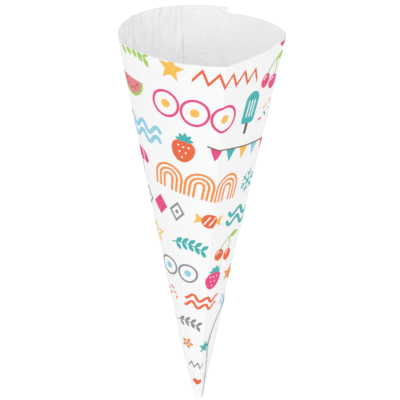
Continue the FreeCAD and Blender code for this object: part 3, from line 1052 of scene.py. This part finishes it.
# %% Paper and ink materials
def linear(rgb):
    """Screen colour from 0 to 255 turned into light: the usual screen curve."""
    value = np.array(rgb) / 255
    return tuple(np.where(value <= 0.04045, value / 12.92, ((value + 0.055) / 1.055) ** 2.4)) + (1.0,)


def bump_layer(nodes, links, coordinates, scale, detail, stretch, size, marked, before):
    """One layer of relief: noise of a scale, stretched along X, its height in metres, and where it shows."""
    placed = nodes.new("ShaderNodeMapping")
    placed.inputs["Scale"].default_value = (stretch, 1.0, 1.0)
    noise = nodes.new("ShaderNodeTexNoise")
    noise.inputs["Scale"].default_value = scale
    noise.inputs["Detail"].default_value = detail
    bump = nodes.new("ShaderNodeBump")
    bump.inputs["Strength"].default_value = 1.0
    bump.inputs["Distance"].default_value = size
    links.new(coordinates.outputs["Object"], placed.inputs["Vector"])
    links.new(placed.outputs["Vector"], noise.inputs["Vector"])
    height = noise.outputs["Fac"]
    if marked:
        place = nodes.new("ShaderNodeAttribute")
        place.attribute_name = marked
        only = nodes.new("ShaderNodeMath")
        only.operation = "MULTIPLY"
        links.new(height, only.inputs[0])
        links.new(place.outputs["Fac"], only.inputs[1])
        height = only.outputs[0]
    links.new(height, bump.inputs["Height"])
    if before:
        links.new(before.outputs["Normal"], bump.inputs["Normal"])
    return bump


def paper_relief(nodes, links, shader, coordinates):
    """Fibre, cockle, the crimped lap and the drawn streaks beside it, one over the other."""
    last = None
    for scale, detail, stretch, size, marked in (
            (1500.0, 3.0, 1.0, 0.00001, ""),
            (240.0, 2.0, 1.0, 0.00005, ""),
            (1050.0, 1.0, 0.9, 0.00032, "crimped"),
            (330.0, 2.0, 0.2, 0.00180, "drawn")):
        last = bump_layer(nodes, links, coordinates, scale, detail, stretch, size, marked, last)
    links.new(last.outputs["Normal"], shader.inputs["Normal"])


def ink_material(name, rgb, spread, roughness):
    """A matt colour whose lightness wanders a little from place to place."""
    material = bpy.data.materials.new(name)
    material.use_nodes = True
    nodes, links = material.node_tree.nodes, material.node_tree.links
    shader = nodes["Principled BSDF"]
    shader.inputs["Roughness"].default_value = roughness
    shader.inputs["Specular IOR Level"].default_value = 0.25
    coordinates = nodes.new("ShaderNodeTexCoord")
    mottle = nodes.new("ShaderNodeTexNoise")
    mottle.inputs["Scale"].default_value = 420.0
    mottle.inputs["Detail"].default_value = 4.0
    links.new(coordinates.outputs["Object"], mottle.inputs["Vector"])
    ramp = nodes.new("ShaderNodeValToRGB")
    base = np.array(linear(rgb)[:3])
    ramp.color_ramp.elements[0].position = 0.3
    ramp.color_ramp.elements[0].color = (*(base * (1 - spread)), 1)
    ramp.color_ramp.elements[1].position = 0.7
    ramp.color_ramp.elements[1].color = (*np.minimum(base * (1 + spread) + 0.15 * spread, 0.93), 1)
    links.new(mottle.outputs["Fac"], ramp.inputs["Fac"])
    links.new(ramp.outputs["Color"], shader.inputs["Base Color"])
    paper_relief(nodes, links, shader, coordinates)
    return material


for ink in INK_NAMES:
    spread = 0.012 if ink == "paper" else 0.05
    sheet_mesh.materials.append(ink_material("ink_" + ink if ink != "paper" else "paper", INKS[ink], spread, 0.72))
print("materials", len(sheet_mesh.materials))

# %% Put the sheet in the scene
cup = bpy.data.objects.new("paper_cone", sheet_mesh)
bpy.context.scene.collection.objects.link(cup)
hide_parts("cup")
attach(cup, "root")
print("sheet box", sheet_places.min(0), sheet_places.max(0))

# %% [markdown]
# ## The rolled tip
# Inside the tip the first corner of the sheet is wound up tightly, and that closes the cone. It is a ribbon that
# spirals in towards the axis: its distance from the axis falls evenly with each turn, and its lower edge is a
# little uneven, as a hand leaves it.

# %% Rolled tip
ROLL_TURNS = 5.0
ROLL_REACH = 1.12
ROLL_TOP = 4.2
ROLL_LEFT = 0.12


def rolled_tip(samples=360):
    """Four long edges of the ribbon, joined by four-sided faces: outside, top, inside, bottom and the two ends."""
    share = np.linspace(0, 1, samples)
    angle = 2 * np.pi * ROLL_TURNS * share
    reach = ROLL_REACH - (ROLL_REACH - ROLL_LEFT) * share
    low = 0.25 + 0.22 * np.sin(angle * 1.31) + 0.12 * np.sin(angle * 2.9 + 1.0)
    edges = []
    for out, height in ((0.0, low), (0.0, np.full(samples, ROLL_TOP)), (-PAPER, np.full(samples, ROLL_TOP)),
                        (-PAPER, low)):
        grown = np.maximum(reach * (1 + height * SLOPE / TIP_RADIUS) + out, 0.02)
        edges.append(lay_down(np.column_stack([grown * np.cos(angle), grown * np.sin(angle), height])))
    step = np.arange(samples - 1)
    sides = [np.column_stack([one * samples + step, one * samples + step + 1, other * samples + step + 1,
                              other * samples + step]) for one, other in ((0, 1), (1, 2), (2, 3), (3, 0))]
    first = [[samples * number for number in (0, 1, 2, 3)]]
    last = [[samples * number + samples - 1 for number in (3, 2, 1, 0)]]
    return np.vstack(edges), np.vstack(sides + [first, last])


roll_places, roll_faces = rolled_tip()
roll_mesh = make_mesh("rolled_tip", roll_places, np.zeros((0, 3), int), roll_faces)
roll_mesh.materials.append(bpy.data.materials["paper"])
tip = bpy.data.objects.new("rolled_tip", roll_mesh)
bpy.context.scene.collection.objects.link(tip)
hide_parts("cup")
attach(tip, "root")
print("faces of the rolled tip", len(roll_mesh.polygons))

# %% [markdown]
# ## Floor, light and camera
# The cup lies on its lap on a plain white floor and the camera looks almost straight down at it. The floor
# keeps the cup's soft shadow and is lifted to white only for the camera.

# %% Floor
FLOOR_GLOW = 0.42
FLOOR_HALF = 3.0
FLOOR_GAP = 0.00015


def floor_material():
    """Matt white that also glows a little for the camera and in reflections, so its lit part reads as white."""
    material = bpy.data.materials.new("floor_white")
    material.use_nodes = True
    nodes, links = material.node_tree.nodes, material.node_tree.links
    nodes.clear()
    output = nodes.new("ShaderNodeOutputMaterial")
    diffuse = nodes.new("ShaderNodeBsdfDiffuse")
    diffuse.inputs["Color"].default_value = (0.80, 0.80, 0.80, 1)
    glow = nodes.new("ShaderNodeEmission")
    glow.inputs["Color"].default_value = (1, 1, 1, 1)
    path = nodes.new("ShaderNodeLightPath")
    seen = nodes.new("ShaderNodeMath")
    seen.operation = "MAXIMUM"
    also = nodes.new("ShaderNodeMath")
    also.operation = "MAXIMUM"
    strength = nodes.new("ShaderNodeMath")
    strength.operation = "MULTIPLY"
    strength.inputs[1].default_value = FLOOR_GLOW
    links.new(path.outputs["Is Camera Ray"], seen.inputs[0])
    links.new(path.outputs["Is Glossy Ray"], seen.inputs[1])
    links.new(seen.outputs[0], also.inputs[0])
    links.new(path.outputs["Is Transmission Ray"], also.inputs[1])
    links.new(also.outputs[0], strength.inputs[0])
    links.new(strength.outputs[0], glow.inputs["Strength"])
    both = nodes.new("ShaderNodeAddShader")
    links.new(diffuse.outputs[0], both.inputs[0])
    links.new(glow.outputs[0], both.inputs[1])
    links.new(both.outputs[0], output.inputs["Surface"])
    return material


floor_mesh = bpy.data.meshes.new("floor")
floor_level = float(CUP_LOW[2]) - FLOOR_GAP
floor_mesh.from_pydata([(x, y, floor_level) for x, y in ((-FLOOR_HALF, -FLOOR_HALF), (FLOOR_HALF, -FLOOR_HALF),
                                                         (FLOOR_HALF, FLOOR_HALF), (-FLOOR_HALF, FLOOR_HALF))],
                       [], [(0, 1, 2, 3)])
floor = bpy.data.objects.new("floor", floor_mesh)
bpy.context.scene.collection.objects.link(floor)
floor_mesh.materials.append(floor_material())
print("floor level in metres", round(floor_level, 5))

# %% Light
def soft_lamp(name, place, aim, size, power):
    """A square lamp that faces a point."""
    data = bpy.data.lights.new(name, "AREA")
    data.shape = "SQUARE"
    data.size = size
    data.energy = power
    lamp = bpy.data.objects.new(name, data)
    lamp.location = place
    lamp.rotation_euler = (Vector(aim) - Vector(place)).to_track_quat("-Z", "Y").to_euler()
    bpy.context.scene.collection.objects.link(lamp)
    return lamp


world = bpy.data.worlds.new("studio")
bpy.context.scene.world = world
world.use_nodes = True
world.node_tree.nodes["Background"].inputs["Color"].default_value = (1, 1, 1, 1)
world.node_tree.nodes["Background"].inputs["Strength"].default_value = 0.78
soft_lamp("key", (0.45, -0.75, 0.9), (0, 0, 0.03), 0.8, 2.7)
soft_lamp("fill", (0.75, 0.6, 0.8), (0, 0, 0.03), 0.9, 4.0)
soft_lamp("side", (-0.8, 0.1, 0.8), (0, 0, 0.03), 0.6, 1.6)
bpy.context.scene.view_settings.view_transform = "Standard"
print("lamps", len(bpy.data.lights))

# %% Camera
CAMERA_ROUND = math.radians(20.3)
CAMERA_UP = math.radians(76.24)
CAMERA_ROLL = math.radians(-0.13)
CAMERA_FAR = 0.9
CAMERA_AIM = np.array([0.0072, 0.0004, 0.025])
CAMERA_FOCAL_PIXELS = 2399.0
PICTURE_PIXELS = 400


def camera_axes():
    """Right, up and back directions of the camera: looking down along +X side, with +X up in the picture."""
    back = np.array([math.cos(CAMERA_UP) * math.cos(CAMERA_ROUND), math.cos(CAMERA_UP) * math.sin(CAMERA_ROUND),
                     math.sin(CAMERA_UP)])
    right = np.cross([1.0, 0.0, 0.0], back)
    right /= np.linalg.norm(right)
    up = np.cross(back, right)
    cos, sin = math.cos(CAMERA_ROLL), math.sin(CAMERA_ROLL)
    return right * cos + up * sin, up * cos - right * sin, back


right, up, back = camera_axes()
camera_data = bpy.data.cameras.new("camera")
camera_data.sensor_width = 36.0
camera_data.lens = 36.0 * CAMERA_FOCAL_PIXELS / PICTURE_PIXELS
camera_data.clip_start = 0.05
camera = bpy.data.objects.new("camera", camera_data)
pose = np.eye(4)
pose[:3, 0], pose[:3, 1], pose[:3, 2] = right, up, back
pose[:3, 3] = CAMERA_AIM + back * CAMERA_FAR
camera.matrix_world = Matrix(pose.tolist())
bpy.context.scene.collection.objects.link(camera)
bpy.context.scene.camera = camera
print("lens in millimetres", round(camera_data.lens, 1))
